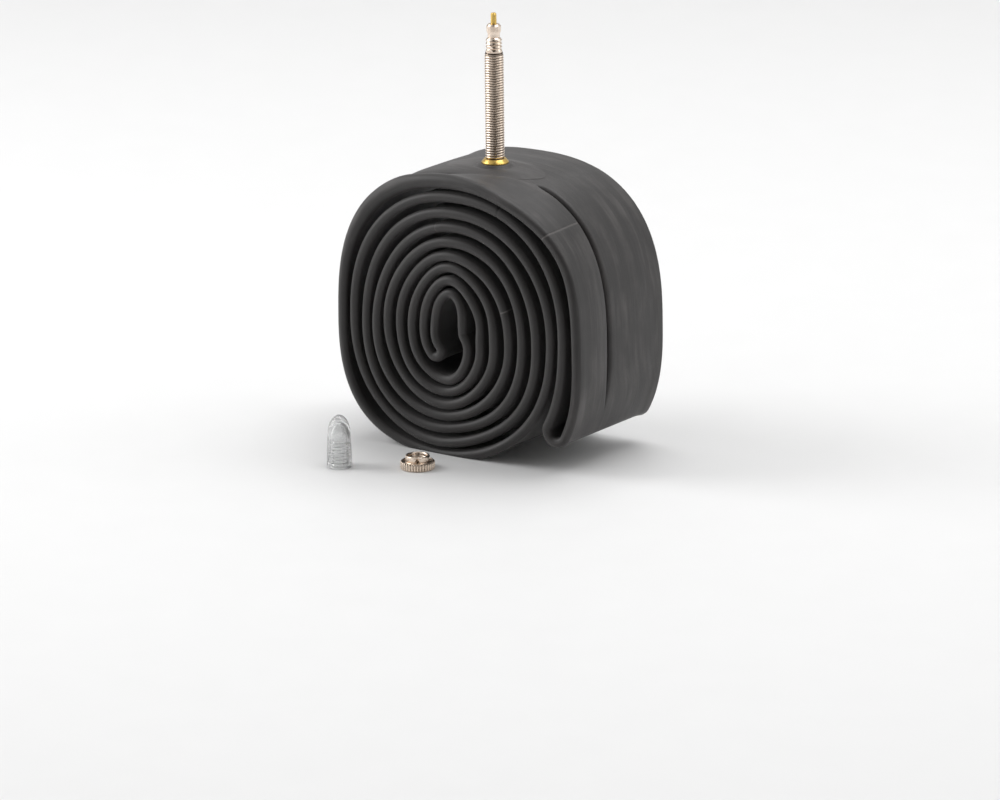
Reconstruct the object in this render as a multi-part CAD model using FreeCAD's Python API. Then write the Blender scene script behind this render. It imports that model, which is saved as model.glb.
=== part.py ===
"""Bicycle inner tube with a slim threaded valve, let down, pressed flat and rolled up for storage.

The roll lies on its round side, so that its coils show on the front (-Y) and back (+Y) faces and
the valve stands up from the top.  Its dust cap and rim nut stand beside it.
Origin: on the resting surface, straight below the valve's axis.  +Z is up along the valve.
"""
import FreeCAD, Part
import math
import os

# ---- Driving dimensions (mm) ----

# The flattened tube
TUBE_WIDTH = 48.0            # lay-flat width of the tube, and so the depth of the roll
FRONT_Y = -22.7              # front face of the roll
STRIP_THICK = 3.0            # two walls of the tube pressed together
COILS = 8                    # spacings between the nine layers, from the innermost to the outermost

# The roll's outline, measured from its winding centre to the middle of the outermost layer
CENTRE_X = -0.8
CENTRE_Z = 39.4
REACH_LEFT = 43.0
REACH_RIGHT = 44.6
REACH_UP = 47.8
REACH_DOWN = 43.1
SNUG_POWER = 2.1             # roundness of the wound layers (2 is an ellipse)
LOOSE_POWER = 2.6            # the outermost layer stands off at its shoulders

# The innermost loop, a leaning oval
LOOP_UP = 13.1
LOOP_DOWN = 7.6
LOOP_SHORT = 4.8
LOOP_LEAN = 15.0             # degrees that its top leans to the left
INNER_BEND = -40.0           # where the inner hairpin lies, degrees clockwise from the left
OUTER_BEND = 215.0           # where the outer hairpin lies
ARM_STEP = 7.5               # degrees between the points of an arm

# The valve's foot
PATCH_LONG = 35.0
PATCH_SHORT = 19.0
PATCH_THICK = 0.5
FLANGE_R = 4.5
FLANGE_Z = 87.3
FLANGE_THICK = 0.7
BOSS_R = 4.9
COLLAR_Z = 89.5
COLLAR_HIGH = 1.4
COLLAR_R = 4.5

# The stem: a 6 mm thread, 35 mm high above the tube
STEM_R = 3.0
STEM_NECK_R = 2.7            # plain neck below the thread, inside the patch and the collar
STEM_TOP = 124.5
CORE_BORE_R = 2.25
AIR_BORE_R = 1.8
FOOT_BORE_R = 1.3
GASKET_STEP_Z = 116.58
AIR_STEP_Z = 102.0

# The valve core
SEAT_GAP = 0.02              # between faces that touch across a joint
NECK_R = 2.55
NECK_TOP = 129.2
CAP_THREAD_PITCH = 1.06
CAP_THREAD_TURNS = 3
CAP_THREAD_DEEP = 0.35
FLATS_APART = 4.5
FLATS_HIGH = 1.6
CORE_THREAD_R = 2.2
CORE_TUBE_R = 1.55
CORE_SEAT_Z = 108.0
GASKET_HIGH = 1.95
PIN_R = 0.9
PIN_RUN = 0.04               # radial clearance round the pin
PIN_LOW = 103.9
PIN_TOP = 136.9
SEAL_R = 1.45
SEAL_HIGH = 2.9
CUP_HIGH = 0.8

# The thumb nut
THUMB_R = 2.25
THUMB_WAIST_R = 1.9
THUMB_HIGH = 4.2
THUMB_KNURLS = 14

# The rim nut, beside the roll
RIM_NUT_X = -3.4
RIM_NUT_Y = -38.8
RIM_NUT_R = 5.4
RIM_NUT_SKIRT = 2.5
RIM_NUT_HIGH = 4.3
RIM_NUT_COLLAR_R = 3.8
RIM_NUT_KNURLS = 36

# The dust cap, beside the roll
CAP_X = -24.8
CAP_Y = -50.3
CAP_R = 4.0
CAP_SHOULDER_R = 3.55
CAP_SHOULDER_Z = 10.8
CAP_HIGH = 16.6
CAP_BORE_R = 2.72
CAP_SOCKET_DEEP = 12.8
CAP_RIBS = 18


def vec(x, y, z):
    return FreeCAD.Vector(x, y, z)


def save(name, shape):
    """Write one node as parts/NAME.step and report its volume."""
    shape.exportStep("parts/" + name + ".step")
    print(f"{name:14s} {len(shape.Solids)} solid  {shape.Volume:10.2f} mm3  valid {shape.isValid()}")


def lathe(profile, x=0.0, y=0.0):
    """Turn a closed (radius, height) profile about the vertical through (x, y)."""
    points = [vec(radius, 0, height) for radius, height in profile]
    face = Part.Face(Part.makePolygon(points + points[:1]))
    solid = face.revolve(vec(0, 0, 0), vec(0, 0, 1), 360)
    solid.translate(vec(x, y, 0))
    return solid


def knurl(solid, count, ring_r, groove_r, low, high, x=0.0, y=0.0):
    """Cut upright grooves, evenly spaced round the vertical through (x, y)."""
    grooves = []
    for index in range(count):
        angle = 2 * math.pi * index / count
        foot = vec(x + ring_r * math.cos(angle), y + ring_r * math.sin(angle), low)
        grooves.append(Part.makeCylinder(groove_r, high - low, foot))
    return solid.cut(Part.makeCompound(grooves))


# ---- The wound strip ----

def ease(share):
    return 0.5 - 0.5 * math.cos(math.pi * min(1.0, max(0.0, share)))


def loop_reach(turn):
    """Distance from the winding centre to the innermost loop, turn degrees clockwise from the left."""
    off_axis = math.radians(turn - 90.0 + LOOP_LEAN)
    long = LOOP_UP if math.cos(off_axis) > 0 else LOOP_DOWN
    return 1.0 / math.hypot(math.cos(off_axis) / long, math.sin(off_axis) / LOOP_SHORT)


def outline_reach(turn, power):
    """Distance from the winding centre to the outermost layer: a superellipse, uneven left and right."""
    across = -math.cos(math.radians(turn))
    upward = math.sin(math.radians(turn))
    wide = REACH_RIGHT if across > 0 else REACH_LEFT
    tall = REACH_UP if upward > 0 else REACH_DOWN
    return (abs(across / wide) ** power + abs(upward / tall) ** power) ** (-1.0 / power)


def layer_at(turn, start_layer):
    """Layer number of an arm: steady over the top, two layers further out through each underside."""
    whole, part = divmod(turn, 360.0)
    return start_layer + 2 * whole + 2 * ease((part - 180.0) / 180.0)


def strip_point(turn, start_layer):
    """A point on the middle of the strip, as (x, z)."""
    share = layer_at(turn, start_layer) / COILS
    power = SNUG_POWER + (LOOSE_POWER - SNUG_POWER) * ease(COILS * share - COILS + 1)
    inner = loop_reach(turn)
    reach = inner + (outline_reach(turn, power) - inner) * share
    angle = math.radians(turn)
    return CENTRE_X - reach * math.cos(angle), CENTRE_Z + reach * math.sin(angle)


def offset_point(turn, start_layer, offset):
    """A point beside the strip's middle line; a positive offset is on the outside of the roll."""
    x0, z0 = strip_point(turn - 0.5, start_layer)
    x1, z1 = strip_point(turn + 0.5, start_layer)
    length = math.hypot(x1 - x0, z1 - z0)
    x, z = strip_point(turn, start_layer)
    return vec(x - (z1 - z0) / length * offset, FRONT_Y, z + (x1 - x0) / length * offset)


def arm_line(start_layer, turns, offset):
    """Points down one side of an arm of the strip, from its inner hairpin to its outer hairpin."""
    last = 360.0 * turns + OUTER_BEND
    count = 2 * round((last - INNER_BEND) / ARM_STEP / 2)
    points = []
    for index in range(count + 1):
        points.append(offset_point(INNER_BEND + (last - INNER_BEND) * index / count, start_layer, offset))
    return points


def arc_chain(points):
    """Arcs through each point and the next two, end to end."""
    return [Part.Arc(*points[index:index + 3]).toShape() for index in range(0, len(points) - 2, 2)]


def hairpin(start, end, forward):
    """A half circle from start to end that bulges along forward."""
    middle = (start + end) * 0.5
    return Part.Arc(start, middle + forward * (start.distanceToPoint(end) / 2), end).toShape()


def strip_loop(offset):
    """The closed line round the whole ring of tube: outside it at a positive offset, inside at a negative."""
    outer_arm = arm_line(0, 4, offset)
    inner_arm = arm_line(1, 3, -offset)
    outer_way = (outer_arm[-1] - outer_arm[-2]).normalize()
    inner_way = (outer_arm[0] - outer_arm[1]).normalize()
    edges = arc_chain(outer_arm)
    edges.append(hairpin(outer_arm[-1], inner_arm[-1], outer_way))
    edges += arc_chain(inner_arm[::-1])
    edges.append(hairpin(inner_arm[0], outer_arm[0], inner_way))
    return Part.Wire(edges)


def make_tube_body():
    """The ring of tube: one strip, wound as two arms that join at a hairpin inside and one outside."""
    face = Part.Face(strip_loop(STRIP_THICK / 2)).cut(Part.Face(strip_loop(-STRIP_THICK / 2)))
    roll = face.Faces[0].extrude(vec(0, TUBE_WIDTH, 0))
    floor = Part.makeBox(200, 200, 50, vec(-100, -100, -50))
    flange_room = Part.makeCylinder(FLANGE_R, 10, vec(0, 0, FLANGE_Z))
    air_way = Part.makeCylinder(FOOT_BORE_R, 1.0, vec(0, 0, FLANGE_Z - 0.6))
    return roll.cut([floor, flange_room, air_way])


def make_valve_patch(tube_body):
    """The oval pad on the tube, with a plug over the stem's flange and a boss under the brass collar."""
    edge = STRIP_THICK / 2
    low = [offset_point(turn, COILS, edge) for turn in range(60, 121, 5)]
    high = [offset_point(turn, COILS, edge + PATCH_THICK) for turn in range(60, 121, 5)]
    edges = arc_chain(low) + [Part.makeLine(low[-1], high[-1])]
    edges += arc_chain(high[::-1]) + [Part.makeLine(high[0], low[0])]
    sheet = Part.Face(Part.Wire(edges)).extrude(vec(0, TUBE_WIDTH, 0))
    oval = Part.Ellipse(vec(0, 0, FLANGE_Z), PATCH_LONG / 2, PATCH_SHORT / 2)
    outline = Part.Face(Part.Wire(oval.toShape())).extrude(vec(0, 0, 10))
    flange_top = FLANGE_Z + FLANGE_THICK
    plug = Part.makeCylinder(FLANGE_R, COLLAR_Z - flange_top, vec(0, 0, flange_top))
    skirt_low = COLLAR_Z - 1.0
    boss = Part.makeCone(BOSS_R + 0.6, BOSS_R, COLLAR_Z - skirt_low, vec(0, 0, skirt_low))
    hole = Part.makeCylinder(STEM_NECK_R, 20, vec(0, 0, FLANGE_Z))
    return sheet.common(outline).fuse([plug, boss.cut(tube_body)]).cut(hole).removeSplitter()


def make_valve_stem():
    """The threaded stem as its 6 mm envelope, with its foot flange, plain neck and stepped bore."""
    thread_low = COLLAR_Z + COLLAR_HIGH
    profile = [
        (FOOT_BORE_R, FLANGE_Z),
        (FLANGE_R, FLANGE_Z),
        (FLANGE_R, FLANGE_Z + FLANGE_THICK),
        (STEM_NECK_R, FLANGE_Z + FLANGE_THICK),
        (STEM_NECK_R, thread_low),
        (STEM_R, thread_low),
        (STEM_R, STEM_TOP - 0.3),
        (STEM_R - 0.3, STEM_TOP),
        (CORE_BORE_R, STEM_TOP),
        (CORE_BORE_R, GASKET_STEP_Z),
        (AIR_BORE_R, GASKET_STEP_Z),
        (AIR_BORE_R, AIR_STEP_Z),
        (FOOT_BORE_R, AIR_STEP_Z - 0.5),
    ]
    return lathe(profile)


def make_stem_collar():
    top = COLLAR_Z + COLLAR_HIGH
    return lathe([
        (STEM_NECK_R, COLLAR_Z),
        (COLLAR_R, COLLAR_Z),
        (COLLAR_R, top - 0.5),
        (COLLAR_R - 0.7, top),
        (STEM_NECK_R, top),
    ])


def make_core_body():
    """Threaded neck for the dust cap, a threaded plug in the stem, and the tube down to the seat."""
    shoulder = STEM_TOP + SEAT_GAP
    plug_low = GASKET_STEP_Z + SEAT_GAP + GASKET_HIGH
    inner_r = PIN_R + PIN_RUN
    profile = [
        (inner_r, NECK_TOP),
        (NECK_R - 0.65, NECK_TOP),
        (NECK_R - CAP_THREAD_DEEP, NECK_TOP - 0.3),
    ]
    for turn in range(CAP_THREAD_TURNS):
        crest = NECK_TOP - 0.85 - turn * CAP_THREAD_PITCH
        profile.append((NECK_R, crest))
        profile.append((NECK_R - CAP_THREAD_DEEP, crest - CAP_THREAD_PITCH / 2))
    profile += [
        (NECK_R, shoulder + 0.5),
        (NECK_R, shoulder),
        (CORE_THREAD_R, shoulder),
        (CORE_THREAD_R, plug_low),
        (CORE_TUBE_R, plug_low),
        (CORE_TUBE_R, CORE_SEAT_Z),
        (inner_r + 0.25, CORE_SEAT_Z),
        (inner_r + 0.25, plug_low),
        (inner_r, plug_low + 0.4),
    ]
    body = lathe(profile)
    for side in (-1, 1):
        middle_y = side * (FLATS_APART + NECK_R) / 2
        flat = Part.makeBox(2 * NECK_R + 1, NECK_R, FLATS_HIGH)
        flat.translate(vec(-NECK_R - 0.5, middle_y - NECK_R / 2, shoulder + 0.45))
        body = body.cut(flat)
    return body


def make_core_gasket():
    low = GASKET_STEP_Z + SEAT_GAP
    return lathe([
        (CORE_TUBE_R, low),
        (CORE_BORE_R - 0.25, low),
        (CORE_BORE_R - 0.1, low + GASKET_HIGH / 2),
        (CORE_BORE_R - 0.25, low + GASKET_HIGH),
        (CORE_TUBE_R, low + GASKET_HIGH),
    ])


def make_core_pin():
    return lathe([
        (0, PIN_LOW),
        (PIN_R, PIN_LOW),
        (PIN_R, PIN_TOP - 0.35),
        (PIN_R - 0.3, PIN_TOP),
        (0, PIN_TOP),
    ])


def make_plunger_seal():
    top = CORE_SEAT_Z - SEAT_GAP
    return lathe([
        (PIN_R, top - SEAL_HIGH),
        (SEAL_R, top - SEAL_HIGH),
        (SEAL_R, top - 0.5),
        (SEAL_R - 0.4, top),
        (PIN_R, top),
    ])


def make_seal_cup():
    top = CORE_SEAT_Z - SEAT_GAP - SEAL_HIGH
    return lathe([
        (PIN_R, top - CUP_HIGH),
        (SEAL_R - 0.3, top - CUP_HIGH),
        (SEAL_R, top - CUP_HIGH + 0.3),
        (SEAL_R, top),
        (PIN_R, top),
    ])


def make_thumb_nut():
    low = NECK_TOP + SEAT_GAP
    top = low + THUMB_HIGH
    nut = lathe([
        (PIN_R + PIN_RUN, low),
        (THUMB_WAIST_R - 0.1, low),
        (THUMB_WAIST_R, low + 0.2),
        (THUMB_WAIST_R, low + 1.0),
        (THUMB_R, low + 2.1),
        (THUMB_R, top - 0.6),
        (THUMB_R - 0.5, top),
        (PIN_R + PIN_RUN, top),
    ])
    return knurl(nut, THUMB_KNURLS, THUMB_R + 0.05, 0.16, low + 1.2, top)


def make_rim_nut():
    """A knurled skirt round a smooth raised collar, with four small pits at the collar's foot."""
    nut = lathe([
        (STEM_R + 0.4, 0),
        (RIM_NUT_R - 0.3, 0),
        (RIM_NUT_R, 0.3),
        (RIM_NUT_R, RIM_NUT_SKIRT - 0.3),
        (RIM_NUT_R - 0.3, RIM_NUT_SKIRT),
        (RIM_NUT_R - 0.8, RIM_NUT_SKIRT),
        (RIM_NUT_COLLAR_R + 0.1, RIM_NUT_SKIRT - 0.3),
        (RIM_NUT_COLLAR_R, RIM_NUT_HIGH - 0.5),
        (RIM_NUT_COLLAR_R - 0.4, RIM_NUT_HIGH),
        (STEM_R + 0.3, RIM_NUT_HIGH),
        (STEM_R, RIM_NUT_HIGH - 0.4),
        (STEM_R, 0.4),
    ], RIM_NUT_X, RIM_NUT_Y)
    nut = knurl(nut, RIM_NUT_KNURLS, RIM_NUT_R + 0.05, 0.22, -1, RIM_NUT_SKIRT + 1, RIM_NUT_X, RIM_NUT_Y)
    return knurl(nut, 4, RIM_NUT_COLLAR_R + 0.4, 0.35, RIM_NUT_SKIRT - 0.8, RIM_NUT_SKIRT + 1,
                 RIM_NUT_X, RIM_NUT_Y)


def make_dust_cap():
    """A bullet-shaped cap with an inside thread at its mouth and fine ribs down its lower half."""
    dome = []
    for step in range(1, 7):
        angle = math.radians(15 * step)
        high = CAP_SHOULDER_Z + (CAP_HIGH - CAP_SHOULDER_Z) * math.sin(angle)
        dome.append((CAP_SHOULDER_R * math.cos(angle) if step < 6 else 0.0, high))
    socket_top = CAP_SOCKET_DEEP
    profile = [(0.0, socket_top + 1.2), (1.2, socket_top + 0.6), (CAP_BORE_R - 0.5, socket_top - 1.5)]
    profile += [(CAP_BORE_R, socket_top - 3.0), (CAP_BORE_R, 0.4), (CAP_BORE_R + 0.3, 0.0)]
    profile += [(CAP_R, 0.0), (CAP_R, 0.8), (CAP_SHOULDER_R + 0.1, CAP_SHOULDER_Z - 1.5)]
    profile += [(CAP_SHOULDER_R, CAP_SHOULDER_Z)] + dome
    cap = lathe(profile, CAP_X, CAP_Y)
    return knurl(cap, CAP_RIBS, CAP_R + 0.1, 0.2, 1.2, CAP_SHOULDER_Z, CAP_X, CAP_Y)


os.makedirs("parts", exist_ok=True)
tube_body = make_tube_body()
save("tube_body", tube_body)
save("valve_patch", make_valve_patch(tube_body))
save("valve_stem", make_valve_stem())
save("stem_collar", make_stem_collar())
save("core_body", make_core_body())
save("core_gasket", make_core_gasket())
save("core_pin", make_core_pin())
save("plunger_seal", make_plunger_seal())
save("seal_cup", make_seal_cup())
save("thumb_nut", make_thumb_nut())
save("rim_nut", make_rim_nut())
save("dust_cap", make_dust_cap())
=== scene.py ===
"""The rolled inner tube and its small parts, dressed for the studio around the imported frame.

The rubber ring, its valve patch, the threaded stem, the rim nut and the dust cap are rebuilt here
as fine meshes, and so is the brass collar; the core, its seals, the pin and the thumb nut keep
their frame meshes and get better materials.
Shapes are worked out in millimetres, in the frame's axes, and turned into metres as meshes are made.
"""
import bmesh
import bpy
import math
import numpy as np
from mathutils import Matrix, Vector


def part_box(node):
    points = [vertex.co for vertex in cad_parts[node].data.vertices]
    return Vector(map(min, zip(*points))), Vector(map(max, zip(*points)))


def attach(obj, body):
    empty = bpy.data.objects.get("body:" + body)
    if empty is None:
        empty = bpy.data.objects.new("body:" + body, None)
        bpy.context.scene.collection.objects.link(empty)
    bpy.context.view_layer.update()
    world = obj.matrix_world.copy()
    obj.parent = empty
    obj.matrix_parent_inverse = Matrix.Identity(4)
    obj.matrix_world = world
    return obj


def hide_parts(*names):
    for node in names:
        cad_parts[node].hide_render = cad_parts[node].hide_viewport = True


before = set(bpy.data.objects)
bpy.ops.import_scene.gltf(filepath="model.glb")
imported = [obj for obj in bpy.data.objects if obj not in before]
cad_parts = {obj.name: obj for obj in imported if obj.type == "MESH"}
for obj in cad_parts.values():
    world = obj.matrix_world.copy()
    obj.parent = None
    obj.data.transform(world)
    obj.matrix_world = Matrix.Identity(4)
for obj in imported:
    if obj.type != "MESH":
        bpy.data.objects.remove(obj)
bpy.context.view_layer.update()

MM = 0.001


def node_box(node):
    """A node's lowest and highest corner in millimetres."""
    low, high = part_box(node)
    return np.array(low) / MM, np.array(high) / MM


TUBE_LOW, TUBE_HIGH = node_box("tube_body")
PATCH_LOW, PATCH_HIGH = node_box("valve_patch")
STEM_LOW, STEM_HIGH = node_box("valve_stem")
COLLAR_LOW, COLLAR_HIGH = node_box("stem_collar")
GASKET_LOW, GASKET_HIGH = node_box("core_gasket")
NUT_LOW, NUT_HIGH = node_box("rim_nut")
CAP_LOW, CAP_HIGH = node_box("dust_cap")

# ---- The winding (mm, degrees) ----

CENTRE_X = -0.8
CENTRE_Z = 39.4
REACH_LEFT = 43.0            # from the winding centre to the middle of the outermost layer
REACH_RIGHT = 45.2
REACH_UP = 47.8
REACH_DOWN = 43.1
COILS = 8                    # spacings between the nine layers
SNUG_POWER = 2.27            # roundness of the wound layers
LOOSE_POWER = 2.6            # the outermost layer stands off at its shoulders
LOOP_X = -1.9                # the innermost loop: a tall oval, set off from the winding centre
LOOP_Z = 1.0
LOOP_HALF_WIDE = 6.1
LOOP_HALF_HIGH = 11.6
LOOP_PINCH = 2.2             # how far its right leg is drawn in
SAG = 1.9                    # how far the middle layers sink at the upper left
SAG_TURN = 60.0
SAG_HALF = 64.0
WAVE = 0.12                  # slight unevenness of every layer
INNER_BEND = -40.0           # the hairpins, in degrees clockwise from the left
OUTER_BEND = 215.0
ARM_STEP = 2.0
TOP_COIL = 1440.0            # the turn at the outermost layer's left side

# ---- The strip's section (mm) ----

FRONT_INSET = 0.36           # the edges' mean places, in from the frame's box
REAR_INSET = 0.4
BEAD_R = 1.6                 # rounded edges of the flattened tube
FAT_BEAD_R = 2.4             # the outermost layer's front edge, on the left and over the top
WEB_HALF = 1.2               # half the thickness between the edges
SPLIT_RIGHT_Y = -5.0         # the lengthwise split in the outer wall, right of the valve
SPLIT_LEFT_Y = -15.5         # and left of it
SPLIT_START = 113.0          # where it opens, right of the patch
SPLIT_WIDE = 0.34
SPLIT_DEEP = 2.3
CROWN = 0.5                  # how far the wall swells either side of the split
LIP = 0.3                    # the step across it, on the right
LIP_RUN = 2.5
LEDGE = 0.9                  # how far the wall stands higher behind the split, on the left
LEDGE_RUN = 7.0
LEDGE_TURN = 66.0
LEDGE_HALF = 24.0
FOLD_DEEP = 0.55             # the soft fold in the wall that joins its two stretches
FOLD_WIDE = 1.9
DROOPS = ((0.9, 60.0, 48.0), (2.4, 120.0, 34.0))    # depth, turn and half stretch
DROOP_HINGE_Y = -3.5         # the front edge hangs in from here forward
DROOP_RUN = 18.5
# Where columns gather either side of the split.
CLUSTER = (-2.6, -1.5, -0.9, -0.55, -0.32, -0.16, -0.06, 0.06, 0.16, 0.32, 0.55, 0.9, 1.5, 2.6)

# Stretches of a turn: where it starts, degrees to ease in, where it ends, degrees to ease out.
# Apart from the pinch they are counted from TOP_COIL.
PINCH_SPAN = (80.0, 50.0, 285.0, 150.0)
FAT_SPAN = (12.0, 38.0, 122.0, 45.0)
SPLIT_RIGHT_SPAN = (SPLIT_START, 5.0, OUTER_BEND - 8, 20.0)
SPLIT_LEFT_SPAN = (-75.0, 40.0, 76.0, 12.0)
SPLIT_MOVED_SPAN = (-120.0, 60.0, SPLIT_START + 3, 50.0)
FOLD_SPAN = (30.0, 20.0, SPLIT_START + 8, 12.0)
DUST_SPAN = (-20.0, 130.0, 260.0, 60.0)

# ---- The valve's foot and the threads (mm) ----

PATCH_THICK = 0.32
COLLAR_BORE_R = 2.7
STEM_THREAD_R = 3.0
STEM_PITCH = 25.4 / 32
STEM_THREAD_DEEP = 0.22
CAP_PITCH = 1.06
CAP_THREAD_DEEP = 0.3


def ease(share):
    return 0.5 - 0.5 * np.cos(np.pi * np.clip(share, 0.0, 1.0))


def bump_at(turn, middle, half):
    """One at middle, falling to nothing half either side."""
    return ease(1.0 - np.abs((turn - middle + 180.0) % 360.0 - 180.0) / half)


def within(turn, span):
    """One along a stretch of turns, easing in from its start and out towards its end."""
    start, rise, end, fall = span
    return ease((turn - start) / rise) * ease((end - turn) / fall)


def loop_reach(turn):
    """Distance from the winding centre to the innermost loop."""
    across = -np.cos(np.radians(turn)) / LOOP_HALF_WIDE
    upward = np.sin(np.radians(turn)) / LOOP_HALF_HIGH
    off_x, off_z = LOOP_X / LOOP_HALF_WIDE, LOOP_Z / LOOP_HALF_HIGH
    square = across ** 2 + upward ** 2
    along = across * off_x + upward * off_z
    return (along + np.sqrt(along ** 2 + square * (1 - off_x ** 2 - off_z ** 2))) / square


def outline_reach(turn, power):
    """Distance from the winding centre to the outermost layer."""
    across = -np.cos(np.radians(turn))
    upward = np.sin(np.radians(turn))
    wide = np.where(across > 0, REACH_RIGHT, REACH_LEFT)
    tall = np.where(upward > 0, REACH_UP, REACH_DOWN)
    return (np.abs(across / wide) ** power + np.abs(upward / tall) ** power) ** (-1.0 / power)


def layer_at(turn, start_layer):
    """Layer number of an arm: steady over the top, two layers further out through each underside."""
    whole, part = np.divmod(turn, 360.0)
    return start_layer + 2 * whole + 2 * ease((part - 180.0) / 180.0)


def strip_middle(turn, start_layer):
    """The strip's middle line, as x and z."""
    layer = layer_at(turn, start_layer)
    share = layer / COILS
    power = SNUG_POWER + (LOOSE_POWER - SNUG_POWER) * ease(layer - COILS + 1)
    inner = loop_reach(turn)
    reach = inner + (outline_reach(turn, power) - inner) * share
    reach = reach - SAG * np.sin(np.pi * np.clip(share, 0, 1)) * bump_at(turn, SAG_TURN, SAG_HALF)
    reach = reach - LOOP_PINCH * (1 - start_layer) * within(turn, PINCH_SPAN)
    reach = reach + WAVE * np.sin(np.radians(3 * turn) + 1.9 * layer)
    angle = np.radians(turn)
    return CENTRE_X - reach * np.cos(angle), CENTRE_Z + reach * np.sin(angle)


def strip_outward(turn, start_layer):
    """The direction away from the roll, square to the strip, as x and z."""
    x0, z0 = strip_middle(turn - 0.5, start_layer)
    x1, z1 = strip_middle(turn + 0.5, start_layer)
    length = np.hypot(x1 - x0, z1 - z0)
    return -(z1 - z0) / length, (x1 - x0) / length


# ---- The strip's section, station by station ----

def past_top(turn, start_layer):
    """Degrees past the left of the outermost layer, or far below it on the other arm."""
    return turn - TOP_COIL if start_layer == 0 else turn * 0.0 - 999.0


def front_bead(turn, start_layer):
    return BEAD_R + (FAT_BEAD_R - BEAD_R) * within(past_top(turn, start_layer), FAT_SPAN)


def front_edge(turn, start_layer):
    """Where the flattened tube's front edge runs: nearly level, with a little waver of its own."""
    layer = layer_at(turn, start_layer)
    waver = 0.22 * np.sin(np.radians(2 * turn) + 2.3 * layer) + 0.14 * np.sin(np.radians(5 * turn) + layer)
    return TUBE_LOW[1] + FRONT_INSET + waver


def rear_edge(turn, start_layer):
    layer = layer_at(turn, start_layer)
    waver = 0.25 * np.sin(np.radians(2 * turn) + 1.1 * layer) + 0.15 * np.sin(np.radians(4 * turn) - layer)
    return TUBE_HIGH[1] - REAR_INSET + waver


def split_place(turn, start_layer):
    """Where the lengthwise split runs: it changes sides of the strip in front of the patch."""
    left = within(past_top(turn, start_layer), SPLIT_MOVED_SPAN)
    return SPLIT_RIGHT_Y + (SPLIT_LEFT_Y - SPLIT_RIGHT_Y) * left


def split_shape(turn, start_layer):
    """How far the split is open on the right, how far on the left, and the soft fold between them."""
    top = past_top(turn, start_layer)
    return within(top, SPLIT_RIGHT_SPAN), within(top, SPLIT_LEFT_SPAN), within(top, FOLD_SPAN)


def droop(turn, start_layer):
    """How far the outermost layer's front edge hangs in from its rear edge."""
    top = past_top(turn, start_layer)
    on_coil = np.where(np.abs(top - 90) < 180, 1.0, 0.0)
    return on_coil * sum(deep * bump_at(top, middle, half) for deep, middle, half in DROOPS)


def edge_swell(y, edge_y, inward, bead):
    """Half thickness near a rounded edge: a bead that thins into the web behind it."""
    behind = (y - edge_y) * inward / bead
    rounding = np.sqrt(np.clip(behind * (2 - behind), 0, 1))
    fade = np.exp(-(np.clip(behind - 1, 0, None) / 1.1) ** 2)
    return np.where(behind < 1, bead * rounding, WEB_HALF + (bead - WEB_HALF) * fade)


def half_thickness(turn, y, start_layer):
    bead = front_bead(turn, start_layer)
    front = edge_swell(y, front_edge(turn, start_layer), 1.0, bead)
    rear = edge_swell(y, rear_edge(turn, start_layer), -1.0, BEAD_R)
    middle = (TUBE_LOW[1] + TUBE_HIGH[1]) / 2
    return np.where(y < middle, front, rear)


def outer_relief(turn, y, start_layer):
    """What the outer wall adds to the plain half thickness: crowned lobes, split, ledge and fold."""
    top = past_top(turn, start_layer)
    split_y = split_place(turn, start_layer)
    right, left, fold = split_shape(turn, start_layer)
    across = y - split_y
    lobe = np.where(across < 0, split_y - TUBE_LOW[1], TUBE_HIGH[1] - split_y)
    share = np.abs(across) / lobe
    crown = CROWN * (right + left) * 4 * share * np.clip(1 - share, 0, 1)
    slit = SPLIT_DEEP * (right + left) * np.exp(-np.abs(across) / SPLIT_WIDE)
    lip = LIP * right * np.sign(across) * np.exp(-np.abs(across) / LIP_RUN)
    ledge = LEDGE * bump_at(top, LEDGE_TURN, LEDGE_HALF)
    ledge = ledge * ease((across + 0.1) / 0.5) * np.exp(-np.clip(across, 0, None) / LEDGE_RUN)
    crease = FOLD_DEEP * fold * np.exp(-(across / FOLD_WIDE) ** 2)
    return np.where(np.abs(top - 70) < 150, crown + lip + ledge - slit - crease, 0.0)


def lean(turn, y, start_layer):
    """Shift of the whole section away from the roll at this y."""
    layer = layer_at(turn, start_layer)
    twist = 0.16 * np.sin(np.radians(1.7 * turn) + 2.0 * layer) * (y - 1.3) / 24
    return twist - droop(turn, start_layer) * ease((DROOP_HINGE_Y - y) / DROOP_RUN)


def floor_rest(z):
    """Rubber that would pass through the resting surface lies flat on it."""
    soft = 0.25
    return (z + np.sqrt(z * z + soft * soft)) / 2


# ---- Marks moulded across the rubber ----
# (arm, turn at the front edge, turn at its far end, far end's y, depth, tone: + pale, - dark)

MARKS = (
    (0, TOP_COIL + 134.0, TOP_COIL + 134.0, SPLIT_RIGHT_Y, 0.10, 1.0),
    (1, 1080.0 + 112.4, 1080.0 + 111.4, -20.0, 0.16, -1.0),
    (1, 720.0 + 78.4, 720.0 + 78.4, -20.5, 0.12, 0.5),
    (1, 360.0 + 153.0, 360.0 + 152.0, -19.5, 0.10, 1.0),
)
MARK_WIDE = 0.26
MARK_REACH = 1.6             # degrees either side of a mark that get closer stations
MARK_STEP = 0.3
LEAST_STEP = 0.12


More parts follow.
